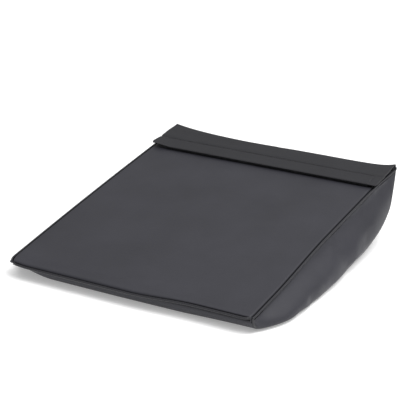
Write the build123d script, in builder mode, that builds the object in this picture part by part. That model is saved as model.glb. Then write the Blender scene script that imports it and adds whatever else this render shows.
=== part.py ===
from build123d import *
import math
import os

# Slant board: a stiff board and a bead-filled cushion inside a sewn leathercloth cover, which
# closes at its high end with a flap held down by hook and loop tape.
# Millimetres and degrees. +X to the right, +Y up the slope to the high end, +Z up.
# The origin is on the flat underside, halfway along the sloping face and midway across.

# ---- overall shape -------------------------------------------------------------------------
PANEL_WIDTH = 330.0         # sloping face, seam to seam
PANEL_LENGTH = 380.0        # sloping face, measured along the slope
TILT = 10.0
NOSE_HEIGHT = 22.0          # height of the low front edge, also the round of the nose under it
BELLY_RISE = 19.0           # how far each side bulges past its seam
BELLY_FROM_FRONT = 140.0    # middle of that bulge, behind the front edge
BELLY_HEIGHT = 20.0         # and above the floor

# The underside lifts off the floor before the rear wall. These are measured forward of the
# top rear edge, and up from the floor.
REST_END_SETBACK = 119.0
HEEL_SETBACK = 36.0
HEEL_HEIGHT = 20.0
WALL_FOOT_SETBACK = 22.0
WALL_FOOT_HEIGHT = 36.0

# ---- cover ---------------------------------------------------------------------------------
LEATHERCLOTH = 1.0
MOUTH_GAP = 3.0             # opening between the hem of the sloping face and the rear panel
REAR_HEM = 5.0              # the rear panel's top edge, folded in towards the mouth
PIPING_RADIUS = 1.8
PIPING_CORD_RADIUS = 1.0
PIPING_OUT = 1.6            # piping axis, out from the seam
PIPING_UP = 0.3             # and up from the face, or forward of the nose
PIPING_CORNER_RADIUS = 3.0
PIPING_WRAP = 55.0          # how far the side piping follows the round of the nose
PIPING_END = 3.0            # side piping stops this far short of the rear edge

# ---- flap and its tapes --------------------------------------------------------------------
FLAP_DEPTH = 63.0           # fold to free edge
FLAP_OVERHANG = 3.5         # past the seam on each side
FLAP_LINING = 0.8
LINING_INSET = 1.5
TAPE_WIDTH = 20.0
TAPE_MARGIN = 3.0           # tape edge to the flap's free edge
TAPE_END_MARGIN = 12.0      # tape end to the seam
HOOK_THICKNESS = 1.2
LOOP_THICKNESS = 1.2
STITCH_MARGIN = 1.5         # stitching to the tape's edge
THREAD = 0.5
CLEARANCE = 0.3             # between the flap and what it closes on

# ---- stuffing ------------------------------------------------------------------------------
FOAM_THICKNESS = 3.0
BOARD_THICKNESS = 6.0
BOARD_SIDE_MARGIN = 9.0     # board edge to the seam
BOARD_FRONT_MARGIN = 6.0
BOARD_REAR_MARGIN = 12.0
BOARD_CORNER_RADIUS = 8.0
LINER_THICKNESS = 0.6
EASE = 0.4                  # slack between one layer and the next

# ---- worked out from the above -------------------------------------------------------------
SLOPE_SIN = math.sin(math.radians(TILT))
SLOPE_COS = math.cos(math.radians(TILT))
FRONT_Y = -PANEL_LENGTH * SLOPE_COS / 2
REAR_Y = PANEL_LENGTH * SLOPE_COS / 2
REAR_HEIGHT = NOSE_HEIGHT + PANEL_LENGTH * SLOPE_SIN
HALF_WIDTH = PANEL_WIDTH / 2
BELLY_Y = FRONT_Y + BELLY_FROM_FRONT
MOUTH_FRONT = PANEL_LENGTH - REAR_HEM - MOUTH_GAP
HOOK_UNDERSIDE = LOOP_THICKNESS + CLEARANCE
LINING_UNDERSIDE = HOOK_UNDERSIDE + HOOK_THICKNESS
FLAP_UNDERSIDE = LINING_UNDERSIDE + FLAP_LINING
FLAP_TOP = FLAP_UNDERSIDE + LEATHERCLOTH
FLAP_FREE_EDGE = PANEL_LENGTH - FLAP_DEPTH
TAPE_CENTRE = FLAP_FREE_EDGE + TAPE_MARGIN + TAPE_WIDTH / 2
TAPE_LENGTH = PANEL_WIDTH - 2 * TAPE_END_MARGIN
BOARD_UNDERSIDE = -(LEATHERCLOTH + FOAM_THICKNESS + BOARD_THICKNESS)

# Local X across, local Y up the slope from the front seam, local Z out of the sloping face.
slope = Plane(
    origin=(0, FRONT_Y, NOSE_HEIGHT), x_dir=(1, 0, 0), z_dir=(0, -SLOPE_SIN, SLOPE_COS)
)

# The bulge of each side: how small the outline has become, and the share of the rise there.
BELLY_STEPS = [(1.0, 0.0), (0.9, 0.38), (0.72, 0.70), (0.45, 0.92), (0.18, 1.0)]


def side_face(inset, shrink=1.0):
    """Outline seen from the side, shrunk about the belly's middle, then set in evenly."""

    def at(y, z):
        return (
            BELLY_Y + shrink * (y - BELLY_Y),
            BELLY_HEIGHT + shrink * (z - BELLY_HEIGHT),
        )

    with BuildSketch() as outline:
        with BuildLine():
            nose = CenterArc(
                at(FRONT_Y + NOSE_HEIGHT, NOSE_HEIGHT), NOSE_HEIGHT * shrink, 180, 90
            )
            rest = Line(nose @ 1, at(REAR_Y - REST_END_SETBACK, 0))
            heel = TangentArc(rest @ 1, at(REAR_Y - HEEL_SETBACK, HEEL_HEIGHT), tangent=rest % 1)
            bend = TangentArc(
                heel @ 1, at(REAR_Y - WALL_FOOT_SETBACK, WALL_FOOT_HEIGHT), tangent=heel % 1
            )
            wall = Line(bend @ 1, at(REAR_Y, REAR_HEIGHT))
            Line(wall @ 1, nose @ 0)
        make_face()
        if inset:
            offset(amount=-inset, kind=Kind.INTERSECTION)
    return outline.sketch


def stuffed_shape(inset):
    """The whole wedge with its two bulging sides, set in from the cover's outer face."""
    with BuildPart() as shape:
        with BuildSketch(Plane.YZ):
            add(side_face(inset))
        extrude(amount=HALF_WIDTH - inset, both=True)
        for hand in (-1, 1):
            for shrink, share in BELLY_STEPS:
                away = HALF_WIDTH - inset + share * BELLY_RISE
                with BuildSketch(Plane.YZ.offset(hand * away)):
                    add(side_face(inset, shrink))
            loft()
    return shape.part


def sloping_sheet(low, high, width, s_from, s_to, corner=0):
    """Flat sheet parallel to the sloping face, between two heights above it."""
    with BuildPart() as sheet:
        with BuildSketch(slope.offset(low)) as blank:
            with Locations((0, s_from)):
                Rectangle(width, s_to - s_from, align=(Align.CENTER, Align.MIN))
            if corner:
                fillet(blank.vertices(), radius=corner)
        extrude(amount=high - low)
    return sheet.part


def thread_frame(base, width, s_middle, depth):
    """Closed rectangle of thread lying on a surface at the height given."""
    with BuildPart() as thread:
        with BuildSketch(slope.offset(base)):
            with Locations((0, s_middle)):
                Rectangle(width, depth)
                Rectangle(width - 2 * THREAD, depth - 2 * THREAD, mode=Mode.SUBTRACT)
        extrude(amount=THREAD)
    return thread.part


def below_sheet(shape, depth):
    """What is left of a shape under a plane at that depth below the sloping face."""
    with BuildPart() as lower:
        add(shape)
        split(bisect_by=slope.offset(-depth), keep=Keep.BOTTOM)
    return lower.part


outer_shape = stuffed_shape(0)
inner_shape = stuffed_shape(LEATHERCLOTH)

# ---- cover: sloping face -------------------------------------------------------------------
with BuildPart() as cover_top:
    add(sloping_sheet(-LEATHERCLOTH, 0, PANEL_WIDTH, LEATHERCLOTH, MOUTH_FRONT))
cover_top.part.label = "cover_top"

# ---- cover: the wall that runs round under the face, between the two side seams ------------
with BuildPart() as wall_ring:
    with BuildSketch(Plane.YZ):
        add(side_face(0))
        add(side_face(LEATHERCLOTH), mode=Mode.SUBTRACT)
    extrude(amount=HALF_WIDTH, both=True)
    add(cover_top.part, mode=Mode.SUBTRACT)
    add(
        sloping_sheet(
            -LEATHERCLOTH, LEATHERCLOTH, PANEL_WIDTH, MOUTH_FRONT, MOUTH_FRONT + MOUTH_GAP
        ),
        mode=Mode.SUBTRACT,
    )

nose_seam = Plane(origin=(0, FRONT_Y + NOSE_HEIGHT, 0), z_dir=(0, 1, 0))
heel_seam = Plane(origin=(0, REAR_Y - HEEL_SETBACK, 0), z_dir=(0, 1, 0))

with BuildPart() as front_band:
    add(wall_ring.part)
    split(bisect_by=nose_seam, keep=Keep.BOTTOM)
front_band.part.label = "front_band"

with BuildPart() as base_panel:
    add(wall_ring.part)
    split(bisect_by=nose_seam, keep=Keep.TOP)
    split(bisect_by=heel_seam, keep=Keep.BOTTOM)
base_panel.part.label = "base_panel"

# The rear panel's folded top edge stands up to just under the flap, which is sewn to it.
with BuildPart() as rear_panel:
    add(wall_ring.part)
    split(bisect_by=heel_seam, keep=Keep.TOP)
    add(
        sloping_sheet(
            -LEATHERCLOTH / 2,
            LINING_UNDERSIDE - CLEARANCE,
            PANEL_WIDTH - 2 * LEATHERCLOTH,
            PANEL_LENGTH - REAR_HEM,
            PANEL_LENGTH - LEATHERCLOTH,
        )
    )
rear_panel.part.label = "rear_panel"

# ---- cover: side gussets, one teardrop each side, bulged by the filling --------------------
with BuildPart() as side_gusset_right:
    add(outer_shape)
    add(inner_shape, mode=Mode.SUBTRACT)
    split(bisect_by=Plane.YZ.offset(HALF_WIDTH), keep=Keep.TOP)
side_gusset_right.part.label = "side_gusset_right"

with BuildPart() as side_gusset_left:
    add(mirror(side_gusset_right.part, about=Plane.YZ))
side_gusset_left.part.label = "side_gusset_left"

# ---- cover: piping, a strip of leathercloth sewn round a cord --------------------------------
piping_x = HALF_WIDTH + PIPING_OUT


def side_piping_line(hand):
    """Down the side seam from the high end, over the front corner and round under the nose."""
    along = PANEL_LENGTH - PIPING_END
    with BuildLine(Plane.YZ.offset(hand * piping_x)) as seam:
        nose_round = CenterArc(
            (FRONT_Y + NOSE_HEIGHT, NOSE_HEIGHT), NOSE_HEIGHT + PIPING_UP, 180, PIPING_WRAP
        )
        seam_run = Line(
            (
                FRONT_Y + along * SLOPE_COS - PIPING_UP * SLOPE_SIN,
                NOSE_HEIGHT + along * SLOPE_SIN + PIPING_UP * SLOPE_COS,
            ),
            nose_round @ 0,
        )
        fillet(seam.vertices().sort_by(Axis.Y)[0], radius=PIPING_CORNER_RADIUS)
    return seam.line


def tube(line, radius):
    """Round bar along a seam line."""
    with BuildPart() as bar:
        with BuildSketch(Plane(origin=line @ 0, z_dir=line % 0)):
            Circle(radius)
        sweep(path=line)
    return bar.part


with BuildLine(slope.offset(PIPING_UP)) as front_seam:
    Line((-piping_x, -PIPING_OUT), (piping_x, -PIPING_OUT))

seam_lines = [side_piping_line(-1), side_piping_line(1), front_seam.line]
with BuildPart() as piping_cord:
    for line in seam_lines:
        add(tube(line, PIPING_CORD_RADIUS))
    add(outer_shape, mode=Mode.SUBTRACT)
piping_cord.part.label = "piping_cord"

with BuildPart() as piping_cover:
    for line in seam_lines:
        add(tube(line, PIPING_RADIUS))
    for line in seam_lines:
        add(tube(line, PIPING_CORD_RADIUS), mode=Mode.SUBTRACT)
    add(outer_shape, mode=Mode.SUBTRACT)
piping_cover.part.label = "piping_cover"

# ---- closure: loop tape on the sloping face, flap with hook tape over it -------------------
with BuildPart() as loop_tape:
    add(
        sloping_sheet(
            0,
            LOOP_THICKNESS,
            TAPE_LENGTH,
            TAPE_CENTRE - TAPE_WIDTH / 2,
            TAPE_CENTRE + TAPE_WIDTH / 2,
        )
    )
loop_tape.part.label = "loop_tape"

with BuildPart() as hook_tape:
    add(
        sloping_sheet(
            HOOK_UNDERSIDE,
            LINING_UNDERSIDE,
            TAPE_LENGTH,
            TAPE_CENTRE - TAPE_WIDTH / 2,
            TAPE_CENTRE + TAPE_WIDTH / 2,
        )
    )
hook_tape.part.label = "hook_tape"

flap_width = PANEL_WIDTH + 2 * FLAP_OVERHANG
with BuildPart() as flap_lining:
    add(
        sloping_sheet(
            LINING_UNDERSIDE,
            FLAP_UNDERSIDE,
            flap_width - 2 * LINING_INSET,
            FLAP_FREE_EDGE + LINING_INSET,
            PANEL_LENGTH,
        )
    )
flap_lining.part.label = "flap_lining"

with BuildPart() as flap_outer:
    add(sloping_sheet(FLAP_UNDERSIDE, FLAP_TOP, flap_width, FLAP_FREE_EDGE, PANEL_LENGTH))
flap_outer.part.label = "flap_outer"

with BuildPart() as flap_stitching:
    add(
        thread_frame(
            FLAP_TOP,
            TAPE_LENGTH + 2 * STITCH_MARGIN,
            TAPE_CENTRE,
            TAPE_WIDTH + 2 * STITCH_MARGIN,
        )
    )
flap_stitching.part.label = "flap_stitching"

# ---- stuffing: foam pad and board under the sloping face -----------------------------------
board_width = PANEL_WIDTH - 2 * BOARD_SIDE_MARGIN
board_end = PANEL_LENGTH - BOARD_REAR_MARGIN
with BuildPart() as foam_pad:
    add(
        sloping_sheet(
            -LEATHERCLOTH - FOAM_THICKNESS,
            -LEATHERCLOTH,
            board_width,
            BOARD_FRONT_MARGIN,
            board_end,
            BOARD_CORNER_RADIUS,
        )
    )
foam_pad.part.label = "foam_pad"

with BuildPart() as slant_board:
    add(
        sloping_sheet(
            BOARD_UNDERSIDE,
            BOARD_UNDERSIDE + BOARD_THICKNESS,
            board_width,
            BOARD_FRONT_MARGIN,
            board_end,
            BOARD_CORNER_RADIUS,
        )
    )
slant_board.part.label = "slant_board"

# ---- stuffing: inner bag of beads that fills the wedge under the board ---------------------
bag_inset = LEATHERCLOTH + EASE
filling_inset = bag_inset + LINER_THICKNESS
bag_shape = below_sheet(stuffed_shape(bag_inset), EASE - BOARD_UNDERSIDE)
bag_space = below_sheet(
    stuffed_shape(filling_inset), EASE + LINER_THICKNESS - BOARD_UNDERSIDE
)
with BuildPart() as liner_bag:
    add(bag_shape)
    add(bag_space, mode=Mode.SUBTRACT)
liner_bag.part.label = "liner_bag"

with BuildPart() as bead_filling:
    add(bag_space)
bead_filling.part.label = "bead_filling"

os.makedirs("parts", exist_ok=True)
pieces = [
    cover_top,
    front_band,
    base_panel,
    rear_panel,
    side_gusset_left,
    side_gusset_right,
    piping_cover,
    piping_cord,
    loop_tape,
    hook_tape,
    flap_lining,
    flap_outer,
    flap_stitching,
    foam_pad,
    slant_board,
    liner_bag,
    bead_filling,
]
for piece in pieces:
    export_step(piece.part, f"parts/{piece.part.label}.step")
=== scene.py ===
import math

import bmesh
import bpy
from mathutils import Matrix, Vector, noise


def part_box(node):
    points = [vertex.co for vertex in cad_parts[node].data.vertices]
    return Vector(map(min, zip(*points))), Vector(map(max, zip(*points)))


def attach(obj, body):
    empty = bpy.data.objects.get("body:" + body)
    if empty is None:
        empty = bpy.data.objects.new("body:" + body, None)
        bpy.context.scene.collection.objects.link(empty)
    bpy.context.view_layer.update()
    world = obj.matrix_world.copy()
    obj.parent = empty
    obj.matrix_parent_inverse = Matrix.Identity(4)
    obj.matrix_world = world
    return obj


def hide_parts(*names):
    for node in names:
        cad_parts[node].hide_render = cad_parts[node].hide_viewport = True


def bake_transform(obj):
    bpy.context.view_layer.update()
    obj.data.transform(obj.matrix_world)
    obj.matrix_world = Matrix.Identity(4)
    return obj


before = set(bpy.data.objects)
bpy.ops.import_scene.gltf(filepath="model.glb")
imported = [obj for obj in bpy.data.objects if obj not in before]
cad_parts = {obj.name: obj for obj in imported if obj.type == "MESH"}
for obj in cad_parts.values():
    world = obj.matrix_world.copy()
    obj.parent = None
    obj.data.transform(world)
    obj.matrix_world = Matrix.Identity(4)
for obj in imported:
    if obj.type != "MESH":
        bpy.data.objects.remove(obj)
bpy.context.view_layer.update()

bl_info = {
    "name": "Slant board",
    "version": (1, 0, 0),
    "blender": (4, 5, 0),
    "location": "3D View > Sidebar > Slant board",
    "description": "Sewn leathercloth cover, flap, tapes and stuffing of a slant board",
    "category": "Object",
}

MM = 0.001
SIDES = (-1, 1)             # left and right, seen from the low front edge
ACROSS = {-1: 0.0, 1: 1.0}  # share of the way across at each side

# ---- the fixed frame: how the sloping face lies and what is sewn to it -----------------------


def tilt_of_face():
    """Slope of the face, from the largest flat of its panel."""
    flat = max(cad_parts["cover_top"].data.polygons, key=lambda polygon: polygon.area)
    return math.atan2(abs(flat.normal.y), abs(flat.normal.z))


TILT = tilt_of_face()
GUSSET_LOW, GUSSET_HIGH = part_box("side_gusset_right")
FRONT_Y, REAR_Y = GUSSET_LOW.y, GUSSET_HIGH.y
HALF_WIDTH = GUSSET_LOW.x
REAR_HEIGHT = GUSSET_HIGH.z
FACE_LENGTH = (REAR_Y - FRONT_Y) / math.cos(TILT)
NOSE = REAR_HEIGHT - FACE_LENGTH * math.sin(TILT)


def on_face(x, s, lift=0.0):
    """Point across, up the slope from the front edge, and out of the sloping face."""
    return Vector((
        x,
        FRONT_Y + s * math.cos(TILT) - lift * math.sin(TILT),
        NOSE + s * math.sin(TILT) + lift * math.cos(TILT),
    ))


FACE_NORMAL = Vector((0.0, -math.sin(TILT), math.cos(TILT)))
UP_SLOPE = Vector((0.0, math.cos(TILT), math.sin(TILT)))


def span(node):
    """Half width, nearest and farthest along the slope, lowest and highest lift of a CAD node."""
    points = [vertex.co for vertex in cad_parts[node].data.vertices]
    along = [
        (p.y - FRONT_Y) * math.cos(TILT) + (p.z - NOSE) * math.sin(TILT) for p in points
    ]
    lifts = [
        (p.z - NOSE) * math.cos(TILT) - (p.y - FRONT_Y) * math.sin(TILT) for p in points
    ]
    return max(p.x for p in points), min(along), max(along), min(lifts), max(lifts)


# ---- sizes and colours that a maker would change ---------------------------------------------


def linear(colour):
    """Linear RGBA of an sRGB hex colour."""
    levels = [int(colour[i:i + 2], 16) / 255 for i in (1, 3, 5)]
    return [c / 12.92 if c <= 0.04045 else ((c + 0.055) / 1.055) ** 2.4 for c in levels] + [1.0]


def millimetres(name, description, default):
    """Property for a length, given in millimetres."""
    return bpy.props.FloatProperty(
        name=name, description=description, default=default * MM, unit="LENGTH",
    )


def swatch(name, colour):
    """Property for the middle colour of a finish, from its sRGB hex value."""
    return bpy.props.FloatVectorProperty(
        name=name, description=f"Middle colour of the {name.lower()}", subtype="COLOR",
        size=4, min=0.0, max=1.0, default=linear(colour),
    )


class CoverSizes(bpy.types.PropertyGroup):
    """Sewn leathercloth shell."""

    cloth: millimetres("Leathercloth", "Thickness of the coated cloth", 1.0)
    rest_end: millimetres(
        "Rest end", "Where the base leaves the floor, forward of the rear edge", 119
    )
    heel_setback: millimetres("Heel setback", "Heel seam, forward of the rear edge", 36)
    heel_height: millimetres("Heel height", "Heel seam above the floor", 20)
    wall_setback: millimetres(
        "Wall foot setback", "Foot of the rear wall, forward of the rear edge", 22
    )
    wall_height: millimetres("Wall foot height", "Foot of the rear wall above the floor", 36)
    belly: millimetres("Belly", "How far the filling pushes each side past its seam", 22.5)
    hollow: millimetres("Waist", "How far the right seam is drawn in by its stitching", 4.2)
    piping_radius: millimetres("Piping radius", "Outside radius of the piping", 1.3)
    cord_radius: millimetres("Piping cord radius", "Radius of the cord inside the piping", 0.7)


class FlapSizes(bpy.types.PropertyGroup):
    """Flap over the mouth of the cover."""

    fold_radius: millimetres(
        "Fold radius", "Round of the fold along the middle of the rear edge", 11.0
    )
    left_ear: millimetres("Left ear", "Length at the left end over which the fold sharpens", 60)
    right_ear: millimetres("Right ear", "Length at the right end over which the fold sharpens", 13)
    root: millimetres("Root seam", "Where the flap is sewn on, below the rear edge", 10)
    corner_lift: millimetres("Corner lift", "How far the left free corner curls up", 3.0)
    stitch: millimetres("Stitch", "Length of one stitch", 3.4)
    thread: millimetres("Thread", "Thickness of the sewing thread", 0.5)


class Colours(bpy.types.PropertyGroup):
    """Middle colour of each finish."""

    leathercloth: swatch("Leathercloth", "#2a2a30")
    flap: swatch("Flap leathercloth", "#1c1c20")
    # Darker than the leathercloth: painted shade for the grooves that the piping lies in.
    rubbed: swatch("Piping leathercloth", "#222226")
    lining: swatch("Flap lining", "#28282c")
    tape: swatch("Hook and loop tape", "#1e1e21")
    thread: swatch("Thread", "#1d1d20")
    cord: swatch("Piping cord", "#cac5b6")
    calico: swatch("Inner bag", "#c9c6be")
    beads: swatch("Beads", "#f0f0ee")
    foam: swatch("Foam", "#a4a49f")
    plywood: swatch("Plywood", "#cfae7e")


class StageSizes(bpy.types.PropertyGroup):
    """Floor, light and camera."""

    camera: bpy.props.FloatVectorProperty(
        name="Camera", description="Place of the camera", subtype="TRANSLATION",
        default=(0.89839, -1.48872, 0.70266),
    )
    turn: bpy.props.FloatVectorProperty(
        name="Camera turn", description="Turn of the camera", subtype="EULER",
        default=(math.radians(69.7049), 0.0, math.radians(31.1606)),
    )
    lens: bpy.props.FloatProperty(
        name="Lens", description="Focal length in millimetres on a 36 mm sensor",
        default=129.77, subtype="DISTANCE_CAMERA",
    )
    world: bpy.props.FloatProperty(
        name="Room light", description="Strength of the even light from all round", default=0.42,
    )
    ceiling: bpy.props.FloatProperty(
        name="Ceiling light", description="Strength of the wide soft light from above", default=1.7,
    )
    soft_box: bpy.props.FloatProperty(
        name="Soft box", description="Power of the soft box on the right, in watts", default=17.0,
    )


PROPERTY_GROUPS = {
    "slant_cover": CoverSizes,
    "slant_flap": FlapSizes,
    "slant_colours": Colours,
    "slant_stage": StageSizes,
}

# ---- meshes ----------------------------------------------------------------------------------


def ramp(value, low, high):
    """Smooth step from 0 at low to 1 at high, which may be the smaller."""
    t = min(max((value - low) / (high - low), 0.0), 1.0)
    return t * t * (3 - 2 * t)


def mix(a, b, t):
    """Value that share t of the way from a to b."""
    return a + (b - a) * t


def even(count):
    """Shares from 0 to 1 in equal steps."""
    return [i / count for i in range(count + 1)]


def new_object(name, mesh):
    """Object for a mesh, light or camera, linked to the scene."""
    piece = bpy.data.objects.new(name, mesh)
    bpy.context.scene.collection.objects.link(piece)
    return piece


def mesh_object(name, bm, crease=35):
    """Object from a bmesh, smooth shaded but for edges sharper than the angle given."""
    bmesh.ops.remove_doubles(bm, verts=bm.verts, dist=0.002 * MM)
    mesh = bpy.data.meshes.new(name)
    bm.to_mesh(mesh)
    bm.free()
    mesh.polygons.foreach_set("use_smooth", [True] * len(mesh.polygons))
    mesh.set_sharp_from_angle(angle=math.radians(crease))
    return new_object(name, mesh)


def add_skin(bm, rows, closed=False):
    """Quads through rows of points. A closed row joins its last point to its first."""
    made = [[bm.verts.new(point) for point in row] for row in rows]
    for low, high in zip(made, made[1:]):
        count = len(low) if closed else len(low) - 1
        for i in range(count):
            j = (i + 1) % len(low)
            bm.faces.new((low[i], low[j], high[j], high[i]))
    return made


def add_closed_skin(bm, rings):
    """Closed form through rings of points, with a face over each end."""
    made = add_skin(bm, rings, closed=True)
    bm.faces.new(reversed(made[0]))
    bm.faces.new(made[-1])


def skin(name, rows, outward):
    """One-sided surface through rows of points, turned to face outward."""
    bm = bmesh.new()
    add_skin(bm, rows)
    bm.normal_update()
    if sum(face.normal.dot(Vector(outward)) * face.calc_area() for face in bm.faces) < 0:
        bmesh.ops.reverse_faces(bm, faces=bm.faces)
    return mesh_object(name, bm)


def settle(piece):
    """Applies the modifiers of a piece."""
    graph = bpy.context.evaluated_depsgraph_get()
    done = bpy.data.meshes.new_from_object(piece.evaluated_get(graph))
    piece.modifiers.clear()
    old, piece.data = piece.data, done
    bpy.data.meshes.remove(old)


def thicken(piece, thickness, smooth=1):
    """Turns an outer face into a closed sheet that thick, behind its normals."""
    if smooth:
        piece.modifiers.new("smooth", "SUBSURF").levels = smooth
    sheet = piece.modifiers.new("thickness", "SOLIDIFY")
    sheet.thickness = thickness
    sheet.offset = -1
    sheet.use_even_offset = False
    settle(piece)
    piece.data.set_sharp_from_angle(angle=math.radians(50))


def heading_at(path, i):
    """The way ahead at a point of a path."""
    return (path[min(i + 1, len(path) - 1)] - path[max(i - 1, 0)]).normalized()


def frames_along(path):
    """Each point of a path, with two directions across it that don't twist."""
    across = heading_at(path, 0).orthogonal().normalized()
    for i, point in enumerate(path):
        ahead = heading_at(path, i)
        across = (across - ahead * across.dot(ahead)).normalized()
        yield point, across, ahead.cross(across)


def add_tube(bm, path, radius, sides):
    """Closed tube along a path."""
    rings = []
    for point, across, up in frames_along(path):
        turns = [2 * math.pi * j / sides for j in range(sides)]
        rings.append([point + radius * (math.cos(t) * across + math.sin(t) * up) for t in turns])
    add_closed_skin(bm, rings)


def ripple(point, size, seed):
    """Smooth random value about -1 to 1, with ripples of that size."""
    return noise.noise(point / size + Vector((seed, 0.37 * seed, 0.0)))


def held(move, most):
    """A move that nears its limit softly."""
    return most * math.tanh(move / most)


SETTLING_FRAMES = 20


def inflate(piece, pressure, slack, out, back):
    """Cloth simulation of a panel sewn down along its open edges, pushed out from inside.

    slack is the share by which the cloth is cut too large. A point may move that far out or back.
    """
    mesh = piece.data
    start = [(vertex.co.copy(), vertex.normal.copy()) for vertex in mesh.vertices]
    bm = bmesh.new()
    bm.from_mesh(mesh)
    edge = [vertex.index for vertex in bm.verts if vertex.is_boundary]
    bm.free()
    pin = piece.vertex_groups.new(name="sewn")
    pin.add(edge, 1.0, "REPLACE")
    cloth = piece.modifiers.new("cloth", "CLOTH").settings
    cloth.quality = 8
    cloth.mass = 0.2
    cloth.tension_stiffness = 40
    cloth.compression_stiffness = 40
    cloth.bending_stiffness = 4.0
    cloth.use_pressure = True
    cloth.uniform_pressure_force = pressure
    cloth.vertex_group_mass = "sewn"
    cloth.shrink_min = -slack
    cloth.effector_weights.gravity = 0
    scene = bpy.context.scene
    for step in range(1, SETTLING_FRAMES + 1):
        scene.frame_set(step)
    graph = bpy.context.evaluated_depsgraph_get()
    made = piece.evaluated_get(graph).to_mesh()
    ends = [vertex.co.copy() for vertex in made.vertices]
    piece.evaluated_get(graph).to_mesh_clear()
    piece.modifiers.clear()
    piece.vertex_groups.clear()
    scene.frame_set(1)
    for vertex, (home, normal), end in zip(mesh.vertices, start, ends):
        proud = (end - home).dot(normal)
        vertex.co = home + held(proud, out if proud > 0 else back) * normal
        vertex.co.z = max(vertex.co.z, 0.0)
    mesh.update()


# ---- materials -------------------------------------------------------------------------------


def per_metre(size):
    """Texture scale that gives features of that size in millimetres."""
    return 1 / (size * MM)


BAND = math.pi / 10         # a wave texture's bands are this wide at a scale of 1


def add_node(tree, kind, sockets=(), **settings):
    """Adds a node with its settings. A socket's value is a number, a colour or an output."""
    made = tree.nodes.new(kind)
    for name, value in settings.items():
        setattr(made, name, value)
    for name, value in dict(sockets).items():
        if isinstance(value, bpy.types.NodeSocket):
            tree.links.new(value, made.inputs[name])
        else:
            made.inputs[name].default_value = value
    return made


def new_material(name, **shader):
    """Material with a Principled shader, whose even values are set on its sockets."""
    material = bpy.data.materials.new(name)
    material.use_nodes = True
    tree = material.node_tree
    tree.nodes.clear()
    sockets = {key.replace("_", " "): value for key, value in shader.items()}
    surface = add_node(tree, "ShaderNodeBsdfPrincipled", sockets)
    add_node(tree, "ShaderNodeOutputMaterial", {"Surface": surface.outputs["BSDF"]})
    place = add_node(tree, "ShaderNodeTexCoord").outputs["Object"]
    return material, tree, surface, place


def tones(colour, spread):
    """Sockets of a colour mix that goes from a darker to a lighter tone of one colour."""
    return {
        "A": [c * (1 - spread) for c in colour[:3]] + [1.0],
        "B": [min(c * (1 + spread), 1.0) for c in colour[:3]] + [1.0],
    }


def tone_and_emboss(tree, surface, colour, spread, shade, height, depth, strength):
    """Colour that follows shade, about one middle colour, and relief that follows height."""
    toned = add_node(
        tree, "ShaderNodeMix", {"Factor": shade, **tones(colour, spread)}, data_type="RGBA"
    )
    tree.links.new(toned.outputs["Result"], surface.inputs["Base Color"])
    relief = add_node(
        tree, "ShaderNodeBump",
        {"Height": height, "Distance": depth * MM, "Strength": strength},
    )
    tree.links.new(relief.outputs["Normal"], surface.inputs["Normal"])


def leathercloth(name, colour, rough):
    """PVC-coated cloth, embossed with a fine calf grain: an even charcoal with a low satin
    gloss that breaks up over the grain, and painted shade in its seams and under the flap."""
    material, tree, surface, place = new_material(
        name, Roughness=0.5, IOR=1.45, Specular_IOR_Level=0.4
    )
    # Calf grain is 0.5 to 1 mm across, drawn at 1.8 mm so that it shows.
    grain = add_node(
        tree, "ShaderNodeTexVoronoi", {"Vector": place, "Scale": per_metre(1.8)},
        feature="SMOOTH_F1",
    )
    pores = add_node(tree, "ShaderNodeTexNoise", {"Vector": place, "Scale": per_metre(0.9)})
    # The coating takes up light a little unevenly over a hand's breadth.
    cloud = add_node(
        tree, "ShaderNodeTexNoise", {"Vector": place, "Scale": per_metre(60), "Detail": 3.0}
    )
    unshaded = add_node(
        tree, "ShaderNodeMix", {"Factor": cloud.outputs["Fac"], **tones(colour, 0.28)},
        data_type="RGBA",
    )
    # Painted shade: the colour darkens to near black where ambient occlusion finds
    # seams, creases and the gap under the flap.
    open_to_air = add_node(
        tree, "ShaderNodeAmbientOcclusion", {"Distance": 5 * MM}, samples=8
    )
    shut_in = add_node(
        tree, "ShaderNodeMapRange",
        {"Value": open_to_air.outputs["AO"], "From Min": 0.25, "From Max": 0.85},
    )
    seam_shade = add_node(
        tree, "ShaderNodeMix",
        {"Factor": shut_in.outputs["Result"], "A": linear("#0b0b0d"),
         "B": unshaded.outputs["Result"]},
        data_type="RGBA",
    )
    tree.links.new(seam_shade.outputs["Result"], surface.inputs["Base Color"])
    gloss = add_node(
        tree, "ShaderNodeMapRange",
        {"Value": pores.outputs["Fac"], "To Min": rough[0], "To Max": rough[1]},
    )
    tree.links.new(gloss.outputs["Result"], surface.inputs["Roughness"])
    height = add_node(
        tree, "ShaderNodeMath",
        {0: grain.outputs["Distance"], 1: pores.outputs["Fac"]}, operation="ADD",
    )
    relief = add_node(
        tree, "ShaderNodeBump",
        {"Height": height.outputs["Value"], "Distance": 0.10 * MM, "Strength": 0.8},
    )
    tree.links.new(relief.outputs["Normal"], surface.inputs["Normal"])
    return material


def woven(name, colour, thread):
    """Plain weave: threads over and under, which gives a fine chequer of light and shade."""
    material, tree, surface, place = new_material(
        name, Roughness=0.85, Sheen_Weight=0.2, Sheen_Roughness=0.5
    )
    bands = []
    for direction in ("X", "Y"):
        band = add_node(
            tree, "ShaderNodeTexWave",
            {"Vector": place, "Scale": per_metre(thread) * BAND, "Distortion": 0.4,
             "Detail Scale": per_metre(8)},
            bands_direction=direction,
        )
        bands.append(band.outputs["Fac"])
    weave = add_node(tree, "ShaderNodeMath", {0: bands[0], 1: bands[1]}, operation="MULTIPLY")
    threads = weave.outputs["Value"]
    tone_and_emboss(tree, surface, colour, 0.35, threads, threads, 0.15, 0.8)
    return material


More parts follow.
